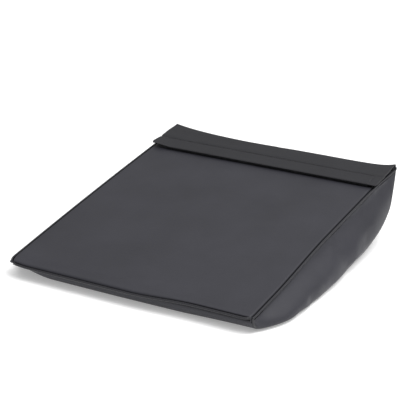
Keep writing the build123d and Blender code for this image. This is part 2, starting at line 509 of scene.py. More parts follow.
def speckled(name, colour, size, roughness, depth):
    """Finish whose colour and relief both follow one fine noise of that size."""
    material, tree, surface, place = new_material(name, Roughness=roughness)
    speck = add_node(
        tree, "ShaderNodeTexNoise", {"Vector": place, "Scale": per_metre(size), "Detail": 4.0}
    )
    specks = speck.outputs["Fac"]
    tone_and_emboss(tree, surface, colour, 0.2, specks, specks, depth, 0.7)
    return material


def birch_plywood(colour):
    """Sanded birch plywood: pale faces with long soft grain, and edges striped by the plies."""
    material, tree, surface, place = new_material("birch_plywood_sanded", Roughness=0.6)
    # Turned to lie along the face, so that the plies are level with it.
    lie = add_node(
        tree, "ShaderNodeMapping", {"Vector": place, "Rotation": (-TILT, 0.0, 0.0)}
    )
    stretched = add_node(
        tree, "ShaderNodeMapping",
        {"Vector": lie.outputs["Vector"], "Scale": (1.0, 0.06, 1.0)},
    )
    grain = add_node(
        tree, "ShaderNodeTexNoise",
        {"Vector": stretched.outputs["Vector"], "Scale": per_metre(4), "Detail": 6.0},
    )
    # Plies of 1.2 mm, one light and one dark in each band.
    plies = add_node(
        tree, "ShaderNodeTexWave",
        {"Vector": lie.outputs["Vector"], "Scale": per_metre(2.4) * BAND, "Distortion": 0.0},
        bands_direction="Z",
    )
    shade = add_node(
        tree, "ShaderNodeMath",
        {0: grain.outputs["Fac"], 1: plies.outputs["Fac"]}, operation="MULTIPLY",
    )
    tone_and_emboss(
        tree, surface, colour, 0.3, shade.outputs["Value"], grain.outputs["Fac"], 0.05, 0.5
    )
    return material


# How each finish is made. Threads and beads are drawn coarser than real so that they show.
MAKERS = {
    "leathercloth": lambda colour: leathercloth(
        "pvc_leathercloth_embossed_leathercloth", colour, (0.44, 0.56)
    ),
    "flap": lambda colour: leathercloth("pvc_leathercloth_embossed_flap", colour, (0.44, 0.56)),
    # Handling has polished the piping a little shinier. Its colour is darker than the face's:
    # painted shade for the groove it lies in.
    "rubbed": lambda colour: leathercloth(
        "pvc_leathercloth_embossed_rubbed", colour, (0.30, 0.42)
    ),
    "lining": lambda colour: woven("polyester_lining_woven", colour, 1.8),
    "tape": lambda colour: woven("nylon_tape_woven", colour, 1.6),
    "thread": lambda colour: woven("polyester_thread_twisted", colour, 0.8),
    "cord": lambda colour: woven("cotton_cord_twisted", colour, 0.8),
    "calico": lambda colour: woven("calico_plain_weave", colour, 2.0),
    # Beads fused at a touch: white, each with a soft shade round it.
    "beads": lambda colour: speckled("expanded_polystyrene_beads", colour, 3.0, 0.7, 1.0),
    # Cut foam: dull and even, with fine open cells.
    "foam": lambda colour: speckled("polyurethane_foam_open_cell", colour, 1.0, 0.95, 0.4),
    "plywood": birch_plywood,
}
FINISHES = {}


def finish_with(piece, kind):
    """Gives a piece the finish of that kind, which is made once."""
    if kind not in FINISHES:
        FINISHES[kind] = MAKERS[kind](getattr(bpy.context.scene.slant_colours, kind))
    piece.data.materials.clear()
    piece.data.materials.append(FINISHES[kind])


def dress(piece, kind, slot, *nodes):
    """Gives a piece its finish, and hides the CAD nodes that it stands for. The slot is not used.
    """
    finish_with(piece, kind)
    if nodes:
        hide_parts(*nodes)


# ---- the seams, which the panels share --------------------------------------------------------


def arc_on(start, heading, end, steps):
    """Points along the arc that leaves start in the heading given and meets end."""
    chord = end - start
    lean = math.atan2(chord.y, chord.x) - math.atan2(heading.y, heading.x)
    radius = chord.length / (2 * math.sin(lean))
    left = Vector((-heading.y, heading.x))
    points = []
    for share in even(steps)[1:]:
        turn = 2 * lean * share
        points.append(
            start + radius * (math.sin(turn) * heading + (1 - math.cos(turn)) * left)
        )
    turn = 2 * lean
    return points, math.cos(turn) * heading + math.sin(turn) * left


NOSE_STEPS, REST_STEPS, HEEL_STEPS, BEND_STEPS, WALL_STEPS = 12, 44, 18, 5, 16


def underside_line(cover):
    """From the front seam round the nose, back along the floor and up the rear wall: (y, z)."""
    centre = Vector((FRONT_Y + NOSE, NOSE))
    line = []
    for share in even(NOSE_STEPS):
        turn = math.pi * (1 + share / 2)
        line.append(centre + NOSE * Vector((math.cos(turn), math.sin(turn))))
    rest_end = Vector((REAR_Y - cover.rest_end, 0.0))
    nose_end = line[-1]
    line += [nose_end.lerp(rest_end, share) for share in even(REST_STEPS)[1:]]
    heel = Vector((REAR_Y - cover.heel_setback, cover.heel_height))
    arc, heading = arc_on(rest_end, Vector((1.0, 0.0)), heel, HEEL_STEPS)
    line += arc
    foot = Vector((REAR_Y - cover.wall_setback, cover.wall_height))
    arc, heading = arc_on(heel, heading, foot, BEND_STEPS)
    line += arc
    top = Vector((REAR_Y, REAR_HEIGHT))
    line += [foot.lerp(top, share) for share in even(WALL_STEPS)[1:]]
    return line


NOSE_END = NOSE_STEPS
HEEL_SEAM = NOSE_STEPS + REST_STEPS + HEEL_STEPS


CORNER_ROUND = {-1: 3.6 * MM, 1: 1.2 * MM}      # left and right front corner
LEFT_LET_OUT = 2.2 * MM     # the left seam bows out this far at its middle
NOSE_PINCH = 8.6 * MM       # the underside of the nose is pinched up at the left corner
NOSE_FULLNESS = 1.8 * MM    # it sags near its middle
NOSE_RISE = 2.4 * MM        # and stands up towards the right corner
NOSE_FADE = 48 * MM         # behind the front these die out over about this distance
FOOT_SPREAD = 14 * MM       # a side rests on the floor this far outside its face seam
FOOT_DRAWN_IN = 15.2 * MM   # and has come in by this at the heel
SWELL_LENGTH = 60 * MM      # a side fills out over this distance behind the nose
BASE_SEAM_IN = 3 * MM       # from where a side touches the floor to the base seam
DROOP_LENGTH = 14 * MM      # the face bends down to its front seam over this distance


def corner_in(hand, s):
    """How far a front corner is rounded off, at that distance up the slope."""
    return CORNER_ROUND[hand] * max(1 - s / (9 * MM), 0.0) ** 2


def seam_x(hand, s, cover):
    """Across to the side seam. The right one is drawn in between its ends, the left let out."""
    if hand > 0:
        draw = ramp(s, 50 * MM, 190 * MM) * (1 - ramp(s, 0.86 * FACE_LENGTH, FACE_LENGTH))
        return HALF_WIDTH - cover.hollow * draw - corner_in(hand, s)
    let_out = LEFT_LET_OUT * math.sin(math.pi * min(max(s / FACE_LENGTH, 0), 1))
    return -HALF_WIDTH - let_out + corner_in(hand, s)


def front_seam_shift(x):
    """How the front seam wanders: forward and low at the left, back at the right."""
    t = ramp(x, 5 * MM, 95 * MM)
    near_left = ramp(x, -HALF_WIDTH, -HALF_WIDTH + 28 * MM)
    low = mix(0.55, 1.0, near_left) * (1 - t)
    return Vector((0.0, -2.0 * MM * low + 2.0 * MM * t, -2.6 * MM * low + 0.2 * MM * t))


def nose_lift(x):
    """How far the bottom of the nose stands up: the corners are pinched, the middle is full."""
    from_left = x + HALF_WIDTH
    pinch = NOSE_PINCH * math.exp(-((from_left / (30 * MM)) ** 2))
    full = -NOSE_FULLNESS * math.exp(-(((from_left - 140 * MM) / (80 * MM)) ** 2))
    return pinch + full + NOSE_RISE * ramp(from_left, 200 * MM, 330 * MM)


def swell(distance):
    """Share to which a side has filled out, at that distance behind the nose."""
    return math.sin(math.pi / 2 * min(max(distance / SWELL_LENGTH, 0.0), 1.0))


def belly_out(back, cover):
    """How far a side stands out past its face seam, at that distance back from the front."""
    rise = swell(back - 5 * MM)
    thin = 0.036 * max(back - 122 * MM, 0.0)
    heel = max(back - 270 * MM, 0.0) / (110 * MM)
    return (cover.belly * rise - thin) * max(1 - heel * heel, 0.0)


def foot_out(back):
    """How far out past the face seam a side touches the floor. It draws in toward the heel."""
    return (FOOT_SPREAD * swell(back - 18 * MM)
            - FOOT_DRAWN_IN * ramp(back, 112 * MM, 300 * MM))


def base_seam_out(back):
    """The base seam runs just inside the foot, out of sight."""
    return foot_out(back) - BASE_SEAM_IN * ramp(back, 18 * MM, 60 * MM)


def under_point(share, step, line, cover):
    """Point on the underside: share goes from the left seam to the right one."""
    y, z = line[step]
    back = max(y - FRONT_Y, 0.0)
    half = HALF_WIDTH + base_seam_out(back)
    round_off = 1 - min(step / NOSE_END, 1.0)
    x = mix(-half + corner_in(-1, 0.0) * round_off, half - corner_in(1, 0.0) * round_off, share)
    down = min(max((NOSE - z) / NOSE, 0.0), 1.0) if step <= NOSE_END else 1.0
    shift = front_seam_shift(x) * (1 - down) ** 2 if step <= NOSE_END else Vector()
    lift = nose_lift(x) * ramp(down, 0.0, 0.8) * math.exp(-((back / NOSE_FADE) ** 2))
    point = Vector((x, y, z)) + shift
    if lift < 0:
        point.y += lift * (1 - down)
        point.z = max(point.z + lift * (1 - down), 0.0)
    else:
        point.z += lift
    return point


def face_seam_point(hand, s, cover, line):
    """Point on the side seam of the face, which meets the front seam at its corner."""
    point = on_face(seam_x(hand, s, cover), s)
    corner = under_point(ACROSS[hand], 0, line, cover)
    near = max(1 - s / DROOP_LENGTH, 0.0) ** 2
    return point + near * (corner - on_face(seam_x(hand, 0.0, cover), 0.0))


def face_point(x, s, lift):
    """Point on the sloping face, which droops to the front seam over the last few millimetres."""
    near = max(1 - s / DROOP_LENGTH, 0.0) ** 2
    return on_face(x, s, lift) + near * front_seam_shift(x)


# ---- operators: the cover ---------------------------------------------------------------------


GROOVE = 4.2 * MM           # how far the edge of the face turns down into its seam
GROOVE_REACH = 2.2 * MM     # over this distance from the seam
ALLOWANCE = 3.5 * MM        # cloth beyond the seam, turned inside
VALLEY_BACK = 8.5 * MM      # a valley along the face, behind its front seam
VALLEY_DEPTH = 0.5 * MM
HEM_LENGTH = 6 * MM         # end of the face past the board, where it sinks into the mouth
HEM_DROP = 3 * MM


def edge_roll(distance):
    """How far a panel has turned down at that distance from its seam."""
    near = max(1 - distance / GROOVE_REACH, 0.0)
    return GROOVE * (1 - math.sqrt(max(1 - near * near, 0.0)))


def spaced(whole, count, edge=(0.0, 0.15 * MM, 0.5 * MM, 1.1 * MM, 1.9 * MM, 3.0 * MM)):
    """Distances across a panel, close together by both edges."""
    middle = [edge[-1] + (whole - 2 * edge[-1]) * t for t in even(count)]
    return list(edge[:-1]) + middle + [whole - d for d in reversed(edge[:-1])]


class SLANT_OT_face_panel(bpy.types.Operator):
    """Sloping face: one flat panel over the board, with a double-stitched hem at the mouth"""

    bl_idname = "slant.face_panel"
    bl_label = "Sloping face"

    def execute(self, context):
        cover = context.scene.slant_cover
        hem = span("cover_top")[2]
        rows = []
        for s in spaced(hem, 72):
            left = seam_x(-1, s, cover)
            right = seam_x(1, s, cover)
            inside = GROOVE + ALLOWANCE * ramp(s, 0.0, 8 * MM)
            row = [face_point(left + 0.1 * MM, s, -inside)]
            for d in spaced(right - left, 64):
                x = left + d
                gap = min(d, right - left - d, s)
                soft = ramp(gap, 2 * MM, 20 * MM)
                wave = 0.22 * MM * ripple(Vector((x, s, 0)), 55 * MM, 3.0) * soft
                wave += 0.14 * MM * ripple(Vector((x, s, 0)), 22 * MM, 8.0) * soft
                # The turned seam behind the front edge leaves a shallow valley.
                valley = math.exp(-(((s - VALLEY_BACK) / (2.2 * MM)) ** 2))
                from_side = min(d, right - left - d)
                wave -= VALLEY_DEPTH * valley * ramp(from_side, 4 * MM, 12 * MM)
                wave -= HEM_DROP * max((s - hem) / HEM_LENGTH + 1, 0.0) ** 2
                row.append(face_point(x, s, wave - edge_roll(gap)))
            row.append(face_point(right - 0.1 * MM, s, -inside))
            rows.append(row)
        turned = [point + Vector((0.0, ALLOWANCE, -0.3 * MM)) for point in rows[0]]
        rows.insert(0, turned)
        panel = skin("face_panel", rows, (0, 0, 1))
        thicken(panel, cover.cloth)
        dress(panel, "leathercloth", "black_leathercloth", "cover_top")
        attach(panel, "cover")
        return {"FINISHED"}


BELLY_SHARE = 0.62          # of the way down the section, where it stands out furthest
ROUND_SHARE = 0.3           # the round from there to the foot
FOOT_SHARE = 0.92           # where it reaches the foot


def belly_curve(start, belly, foot, fullness, v):
    """Section of a side, from its seam out to the belly and in to the foot: (out, up)."""
    if v < BELLY_SHARE:
        t = v / BELLY_SHARE
        leave = start + Vector((-0.02 * (belly.x - start.x), 0.34 * (belly.y - start.y)))
        arrive = belly + Vector((0.0, 0.55 * (start.y - belly.y)))
        return ((1 - t) ** 3 * start + 3 * t * (1 - t) ** 2 * leave
                + 3 * t * t * (1 - t) * arrive + t ** 3 * belly)
    t = min((v - BELLY_SHARE) / ROUND_SHARE, 1.0) * math.pi / 2
    return Vector((
        foot.x + (belly.x - foot.x) * max(math.cos(t), 0.0) ** fullness,
        belly.y + (foot.y - belly.y) * math.sin(t) ** fullness,
    ))


DIMPLES = (                 # how far back, how far down the side, size, depth
    (107 * MM, 0.52, 13 * MM, 1.6 * MM),
    (205 * MM, 0.50, 15 * MM, 2.4 * MM),
    (262 * MM, 0.42, 20 * MM, 1.4 * MM),
    (52 * MM, 0.40, 12 * MM, 0.9 * MM),
)


def dimpled(back, v, hand):
    """How far a side is sunk or raised where the filling has settled."""
    free = math.sin(math.pi * min(v / FOOT_SHARE, 1.0))
    sunk = 0.0
    for at, down, size, depth in DIMPLES:
        away = ((back - at) / size) ** 2 + ((v - down) / 0.17) ** 2
        sunk += depth * math.exp(-away)
    lumps = 1.1 * MM * ripple(Vector((back, 60 * MM * v, 0)), 38 * MM, 20.0 + hand)
    lumps += 0.5 * MM * ripple(Vector((back, 60 * MM * v, 0)), 15 * MM, 31.0 + hand)
    return free * (lumps - sunk)


def gusset_rows(hand, cover, line):
    """Outer face of a side gusset, from the face seam down over the belly to the base seam."""
    rows = []
    for step in range(len(line)):
        back = line[step].x - FRONT_Y
        top = face_seam_point(hand, back / math.cos(TILT), cover, line)
        low = under_point(ACROSS[hand], step, line, cover)
        sunk = ramp(top.z - low.z, 0.0, 14 * MM)
        inside = top + sunk * Vector((hand * 0.4 * MM, 0.0, -GROOVE - ALLOWANCE))
        top += sunk * Vector((hand * 1.3 * MM, 0.0, -4.0 * MM))
        start = Vector((hand * top.x - HALF_WIDTH, top.z))
        seam_out = hand * low.x - HALF_WIDTH
        foot = Vector((max(foot_out(back), seam_out), low.z))
        height = mix(0.21, 0.35, ramp(back, 150 * MM, 290 * MM))
        belly = Vector((
            max(belly_out(back, cover), start.x, foot.x),
            low.z + (top.z - low.z) * height,
        ))
        fullness = mix(1.25, 1.7, ramp(back, 100 * MM, 220 * MM))
        row = [inside]
        for v in even(28):
            p = belly_curve(start, belly, foot, fullness, v)
            p.x += dimpled(back, v, hand) * min(belly.x / cover.belly, 1.0)
            if v > FOOT_SHARE:
                p = Vector((mix(foot.x, seam_out, (v - FOOT_SHARE) / 0.08), low.z))
            row.append(Vector((hand * (HALF_WIDTH + p.x), mix(top.y, low.y, v), p.y)))
        rows.append(row)
    return rows


class SLANT_OT_gussets(bpy.types.Operator):
    """Side gussets: a teardrop of leathercloth each side, pushed out by the filling"""

    bl_idname = "slant.gussets"
    bl_label = "Side gussets"

    def execute(self, context):
        cover = context.scene.slant_cover
        line = underside_line(cover)
        for hand, side in zip(SIDES, ("left", "right")):
            rows = gusset_rows(hand, cover, line)
            panel = skin(f"gusset_{side}", rows, (hand, 0, 0))
            inflate(panel, pressure=3.0, slack=0.004, out=1.0 * MM, back=0.7 * MM)
            thicken(panel, cover.cloth)
            dress(panel, "leathercloth", "black_leathercloth", f"side_gusset_{side}")
            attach(panel, "cover")
        return {"FINISHED"}


WALL_LEAN = 1.9 * MM        # how far the rear panel steps in under the layers of the flap


def under_panel(name, first, last, outward, cover, line, flap):
    """Panel of the underside between two steps of its line. The last one ends in the mouth."""
    rows = []
    to_mouth = last == len(line) - 1
    if to_mouth:
        last -= WALL_STEPS
    for step in range(first, last + 1):
        down = step / NOSE_END
        behind = 2.4 * MM * max(1 - down / 0.5, 0.0) ** 2
        below = 3.4 * MM * max(1 - down / 0.35, 0.0)
        rows.append([
            under_point(share, step, line, cover) + Vector((0.0, behind, -below))
            for share in even(110)
        ])
    if first == 0:
        rows.insert(0, [point + Vector((0.0, ALLOWANCE, 0.0)) for point in rows[0]])
    if to_mouth:
        wall = rows[-1]
        top = [
            fold_line(
                point.x, WALL_LEAN, 16 * MM, FACE_LENGTH - 24 * MM, cover, flap, steps=(6, 8, 4)
            )
            for point in wall
        ]
        for t in even(8)[1:]:
            rows.append([a.lerp(b[0], t) for a, b in zip(wall, top)])
        for i in range(1, len(top[0])):
            rows.append([line_of_fold[i] for line_of_fold in top])
    panel = skin(name, rows, outward)
    thicken(panel, cover.cloth)
    return panel


class SLANT_OT_underside(bpy.types.Operator):
    """Nose band, base and rear panels, sewn end to end between the two gussets"""

    bl_idname = "slant.underside"
    bl_label = "Nose band, base and rear panel"

    def execute(self, context):
        cover = context.scene.slant_cover
        flap = context.scene.slant_flap
        line = underside_line(cover)
        last = len(line) - 1
        for name, node, first, end, outward, cut_length in (
            ("nose_band", "front_band", 0, NOSE_END, (0, -1, -1), 35 * MM),
            ("base_panel_cloth", "base_panel", NOSE_END, HEEL_SEAM, (0, 0, -1), 320 * MM),
            ("rear_panel_cloth", "rear_panel", HEEL_SEAM, last, (0, 1, 0), 76 * MM),
        ):
            panel = under_panel(name, first, end, outward, cover, line, flap)
            dress(panel, "leathercloth", "black_leathercloth", node)
            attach(panel, "cover")
        return {"FINISHED"}


def add_piping(bm, path, outward, cover):
    """Strip folded round the cord: a tube with a wall, and a flange that goes into the seam."""
    sides = 14
    rings, bores = [], []
    for i, point in enumerate(path):
        ahead = heading_at(path, i)
        out = (outward[i] - ahead * outward[i].dot(ahead)).normalized()
        side = ahead.cross(out)
        ring, bore = [], []
        for j in range(sides):
            turn = 2 * math.pi * (j + 0.5) / sides
            spoke = math.cos(turn) * out + math.sin(turn) * side
            flange = 3 * MM if abs(turn - math.pi) < 2 * math.pi / sides else 0.0
            ring.append(point + cover.piping_radius * spoke - flange * out)
            bore.append(point + (cover.cord_radius + 0.05 * MM) * spoke)
        rings.append(ring)
        bores.append(bore)
    outer = add_skin(bm, rings, closed=True)
    inner = add_skin(bm, bores, closed=True)
    for end in (0, -1):
        for j in range(sides):
            k = (j + 1) % sides
            bm.faces.new((outer[end][j], outer[end][k], inner[end][k], inner[end][j]))


def add_cord(bm, path, radius, strands=3, lay=6 * MM):
    """Cord of strands twisted round each other."""
    lines = [[] for _ in range(strands)]
    along = 0.0
    before = path[0]
    for point, across, up in frames_along(path):
        along += (point - before).length
        before = point
        for strand, line in enumerate(lines):
            turn = 2 * math.pi * (along / lay + strand / strands)
            line.append(point + 0.5 * radius * (math.cos(turn) * across + math.sin(turn) * up))
    for line in lines:
        add_tube(bm, line, 0.48 * radius, 6)


def resampled(path, step):
    """The same path with points that far apart."""
    points = [path[0]]
    spare = 0.0
    for a, b in zip(path, path[1:]):
        length = (b - a).length
        at = step - spare
        while at <= length:
            points.append(a.lerp(b, at / length))
            at += step
        spare = length - (at - step)
    return points


PIPING_OUT, PIPING_SINK = 2.1 * MM, 1.9 * MM    # its axis: outside the seam, and below the face
PIPING_TURN = 1.6           # its flange points into the seam, steeper than level


class SLANT_OT_piping(bpy.types.Operator):
    """Piping: a strip of leathercloth sewn round a cotton cord, in the seams of the face"""

    bl_idname = "slant.piping"
    bl_label = "Piping"

    def execute(self, context):
        cover = context.scene.slant_cover
        line = underside_line(cover)
        strip_mesh, cord_mesh = bmesh.new(), bmesh.new()
        paths = []
        for hand in SIDES:
            side = Vector((hand, 0.0, 0.0))
            path, outward = [], []
            for t in even(120)[:-1]:
                s = 2 * MM + (FACE_LENGTH - 4 * MM) * t
                point = face_seam_point(hand, s, cover, line)
                path.append(point + PIPING_OUT * side - PIPING_SINK * FACE_NORMAL)
                outward.append(side + PIPING_TURN * FACE_NORMAL)
            path.reverse()
            for step in range(1, 8):
                turn = math.pi / 2 * step / NOSE_END
                point = under_point(ACROSS[hand], step, line, cover)
                spoke = Vector((0.0, -math.cos(turn), -math.sin(turn)))
                path.append(point + PIPING_OUT * side - PIPING_SINK * spoke)
                outward.append(side + PIPING_TURN * spoke)
            paths.append((path, outward))
        path, outward = [], []
        for share in even(100):
            point = under_point(share, 0, line, cover)
            to_end = min(share, 1 - share) * 2 * HALF_WIDTH
            tuck = 4 * MM * ramp(to_end, 5 * MM, 0.0)
            path.append(point + Vector((0.0, -PIPING_OUT + tuck, -PIPING_SINK)))
            outward.append(Vector((0.0, -1.0, 0.6)))
        paths.append((path, outward))
        for path, outward in paths:
            add_piping(strip_mesh, path, outward, cover)
            add_cord(cord_mesh, resampled(path, 0.8 * MM), cover.cord_radius)
        bmesh.ops.recalc_face_normals(strip_mesh, faces=strip_mesh.faces)
        strip = mesh_object("piping_strip", strip_mesh)
        dress(strip, "rubbed", "black_leathercloth", "piping_cover")
        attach(strip, "cover")
        core = mesh_object("piping_core", cord_mesh)
        dress(core, "cord", "piping_cord", "piping_cord")
        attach(core, "cover")
        return {"FINISHED"}


# ---- operators: flap and tapes -----------------------------------------------------------------


EAR_ROUND = {-1: 0.6 * MM, 1: 2.6 * MM}         # radius of the fold at its left and right end
RIGHT_SHARPER = 2.3 * MM    # how much sharper the fold is to the right of the middle


def fold_round(x, flap):
    """Radius of the flap's fold, which sharpens into an ear at each end."""
    from_end = max(span("flap_outer")[0] - abs(x), 0.0)
    hand, ear = (-1, flap.left_ear) if x < 0 else (1, flap.right_ear)
    full = flap.fold_radius - RIGHT_SHARPER * ramp(x, -60 * MM, 40 * MM)
    return mix(full, EAR_ROUND[hand], math.exp(-from_end / ear))


def fold_line(x, depth, below, to_s, cover, flap, steps=(5, 12, 52)):
    """Up the rear wall, round the fold and down the face, that deep inside the flap's skin.

    It starts that far below the rear edge and ends at that distance up the slope.
    """
    lift = span("flap_outer")[4] - depth
    up = Vector((cover.wall_setback, REAR_HEIGHT - cover.wall_height)).normalized()
    down_slope = Vector((-math.cos(TILT), -math.sin(TILT)))
    outward = Vector((up.y, -up.x))
    edge = Vector((REAR_Y, REAR_HEIGHT))
    on_wall = edge - outward * depth
    on_top = edge + Vector((-math.sin(TILT), math.cos(TILT))) * lift
    gap = on_top - on_wall
    meet = on_wall + up * ((gap.x * down_slope.y - gap.y * down_slope.x)
                           / (up.x * down_slope.y - up.y * down_slope.x))
    turn = up.angle(down_slope)
    radius = max(fold_round(x, flap) - depth, 0.4 * MM)
    start = meet - up * radius * math.tan(turn / 2)
    root = on_wall - up * below
    wall_steps, fold_steps, face_steps = steps
    line = [root.lerp(start, t) for t in even(wall_steps)[:-1]]
    for t in even(fold_steps):
        line.append(start + radius * (
            math.sin(turn * t) * up + (1 - math.cos(turn * t)) * Vector((-up.y, up.x))
        ))
    flat_from = (line[-1].x - FRONT_Y) * math.cos(TILT) + (line[-1].y - NOSE) * math.sin(TILT)
    points = [Vector((x, p.x, p.y)) for p in line]
    points += [on_face(x, mix(flat_from, to_s, t), lift) for t in even(face_steps)[1:]]
    return points


def as_it_lies(point, half, free_edge, flap):
    """A point of the flap as it lies: ends rounded off, a curled corner, soft waves."""
    s = (point.y - FRONT_Y) * math.cos(TILT) + (point.z - NOSE) * math.sin(TILT)
    at_free, at_fold = ramp(s - free_edge, 7 * MM, 0.0), ramp(s, 355 * MM, FACE_LENGTH)
    left = -half + 2.4 * MM + 2.0 * MM * at_free ** 2 + 0.6 * MM * at_fold
    right = half - 1.8 * MM - 1.4 * MM * at_free ** 2 - 1.6 * MM * at_fold
    x = mix(left, right, (point.x + half) / (2 * half))
    corner = ramp(point.x + half, 32 * MM, 0.0) * ramp(s - free_edge, 30 * MM, 0.0)
    lift = flap.corner_lift * corner
    seam = span("flap_stitching")[2]
    behind = ramp(s, seam, seam + 6 * MM) * ramp(s, FACE_LENGTH - 4 * MM, FACE_LENGTH - 18 * MM)
    # Behind the stitching the cloth is loose, and waves. The stitching draws it down.
    lift += behind * (0.5 * MM + 0.6 * MM * ripple(Vector((point.x, 1.6 * s, 0)), 34 * MM, 5.0))
    lift -= 0.8 * MM * math.exp(-(((s - seam) / (1.2 * MM)) ** 2))
    lift += 0.2 * MM * ripple(Vector((point.x, s, 0)), 26 * MM, 12.0) * (1 - at_fold)
    return Vector((x, point.y, point.z)) + lift * FACE_NORMAL


class SLANT_OT_flap(bpy.types.Operator):
    """Flap: leathercloth outside and woven lining inside, folded over the rear edge"""

    bl_idname = "slant.flap"
    bl_label = "Flap and its lining"

    def execute(self, context):
        cover = context.scene.slant_cover
        flap = context.scene.slant_flap
        half, free_edge, _, _, _ = span("flap_outer")
        lining_depth = cover.cloth + 0.05 * MM
        for name, node, kind, slot, depth, inset, below, thickness in (
            ("flap_skin", "flap_outer", "flap", "black_leathercloth",
             0.0, 0.0, flap.root, cover.cloth),
            ("flap_backing", "flap_lining", "lining", "flap_lining",
             lining_depth, 1.5 * MM, flap.root - 2 * MM, 0.75 * MM),
        ):
            rows = []
            for share in even(120):
                x = mix(-half + inset, half - inset, share)
                row = fold_line(x, depth, below, free_edge + inset, cover, flap)
                rows.append([as_it_lies(p, half, free_edge, flap) for p in row])
            piece = skin(name, rows, (0, 0.3, 1))
            thicken(piece, thickness, smooth=0)
            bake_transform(piece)
            dress(piece, kind, slot, node)
        return {"FINISHED"}


def add_loop(bm, foot, along, up, height):
    """One loop of nylon thread, standing on the tape."""
    reach = 0.45 * MM
    path = []
    for t in even(6):
        turn = math.pi * t
        path.append(foot - reach * math.cos(turn) * along + height * math.sin(turn) * up
                    + 0.15 * MM * math.cos(turn) * UP_SLOPE)
    add_tube(bm, path, 0.09 * MM, 3)


def add_hook(bm, foot, along, up, height):
    """One hook of nylon: a stem that bends over at its tip."""
    path = [foot, foot + 0.55 * height * up]
    for t in even(4)[1:]:
        turn = math.pi * t
        path.append(foot + 0.22 * MM * (1 - math.cos(turn)) * along
                    + (0.55 * height + 0.45 * height * math.sin(turn)) * up)
    add_tube(bm, path, 0.12 * MM, 4)


class SLANT_OT_tapes(bpy.types.Operator):
    """Hook and loop tape: loops on the face, hooks under the flap"""

    bl_idname = "slant.tapes"
    bl_label = "Hook and loop tapes"

    def execute(self, context):
        # Real hooks and loops stand 0.4 mm apart. They are drawn 2 mm apart so that they show.
        pitch = 2.0 * MM
        ground = 0.45 * MM
        selvedge = 1.2 * MM
        along = Vector((1.0, 0.0, 0.0))
        for name, node, body, side, add_one, rests_on in (
            ("loop", "loop_tape", "cover", 1, add_loop, "face_panel"),
            ("hook", "hook_tape", "flap", -1, add_hook, "flap_backing"),
        ):
            half, near, far, low, high = span(node)
            base, tip = (low, high) if side > 0 else (high, low)
            top = base + side * ground
            bm = bmesh.new()
            rows = []
            for x in [mix(-half, half, t) for t in even(60)]:
                rows.append([
                    on_face(x, near, base), on_face(x, near, top - side * 0.15 * MM),
                    on_face(x, near + 0.3 * MM, top), on_face(x, far - 0.3 * MM, top),
                    on_face(x, far, top - side * 0.15 * MM), on_face(x, far, base),
                ])
            add_closed_skin(bm, rows)
            bmesh.ops.recalc_face_normals(bm, faces=bm.faces)
            tape = mesh_object(f"{name}_strip", bm)
            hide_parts(node)
            bm = bmesh.new()
            up = side * FACE_NORMAL
            count = int((2 * half - 2 * selvedge) / pitch)
            lines = int((far - near - 2 * selvedge) / pitch)
            for i in range(count):
                for j in range(lines):
                    x = -half + selvedge + pitch * (i + 0.25 + 0.5 * (j % 2))
                    s = near + selvedge + pitch * (j + 0.5)
                    sway = 0.3 * ripple(Vector((x, s, 0)), 1.7 * MM, 40.0)
                    lean = (up + sway * UP_SLOPE).normalized()
                    add_one(bm, on_face(x, s, top - side * 0.1 * MM), along, lean,
                            abs(tip - top) - 0.12 * MM)
            pile = mesh_object(f"{name}_pile", bm)
            for piece in (tape, pile):
                dress(piece, "tape", node)
                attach(piece, body)
        return {"FINISHED"}


def add_stitches(bm, place, start, end, flap):
    """Row of stitches from start to end, each a short arch of thread on the cloth."""
    start, end = Vector(start), Vector(end)
    count = round((end - start).length / flap.stitch)
    for i in range(count):
        a = start.lerp(end, (i + 0.1) / count)
        b = start.lerp(end, (i + 0.9) / count)
        path = []
        for t in even(6):
            p = a.lerp(b, t)
            path.append(place(p.x, p.y, 0.35 * MM * math.sin(math.pi * t) - 0.15 * MM))
        add_tube(bm, path, flap.thread / 2, 6)


class SLANT_OT_stitching(bpy.types.Operator):
    """Stitching: a box round the hook tape, the hem at the mouth and the root of the flap"""

    bl_idname = "slant.stitching"
    bl_label = "Stitching"

    def execute(self, context):
        cover = context.scene.slant_cover
        flap = context.scene.slant_flap
        half, near, far, low, _ = span("flap_stitching")
        bm = bmesh.new()
        for start, end in (
            ((-half, far), (half, far)), ((-half, near), (half, near)),
            ((-half, near), (-half, far)), ((half, near), (half, far)),
        ):
            in_valley = 0.45 * MM if start[1] == end[1] == far else 0.0
            add_stitches(bm, lambda x, s, up: on_face(x, s, low + up - in_valley), start, end, flap)
        box = mesh_object("flap_stitches", bm)
        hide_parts("flap_stitching")
        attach(box, "flap")
        bm = bmesh.new()
        half = HALF_WIDTH - 8 * MM
        hem = span("cover_top")[2]
        for inside in (7 * MM, 12 * MM):
            add_stitches(
                bm, lambda x, s, up: on_face(x, s, up),
                (-half, hem - inside), (half, hem - inside), flap,
            )
        wall = Vector((0.0, cover.wall_setback, REAR_HEIGHT - cover.wall_height)).normalized()
        out = Vector((0.0, wall.z, -wall.y))
        edge = Vector((0.0, REAR_Y, REAR_HEIGHT))
        for above in (2.5 * MM, 6 * MM):
            add_stitches(
                bm,
                lambda x, down, up: edge + Vector((x, 0.0, 0.0)) - down * wall + up * out,
                (-half, flap.root - above), (half, flap.root - above), flap,
            )
        seams = mesh_object("cover_stitches", bm)
        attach(seams, "cover")
        for thread in (box, seams):
            dress(thread, "thread", "black_thread")
        return {"FINISHED"}


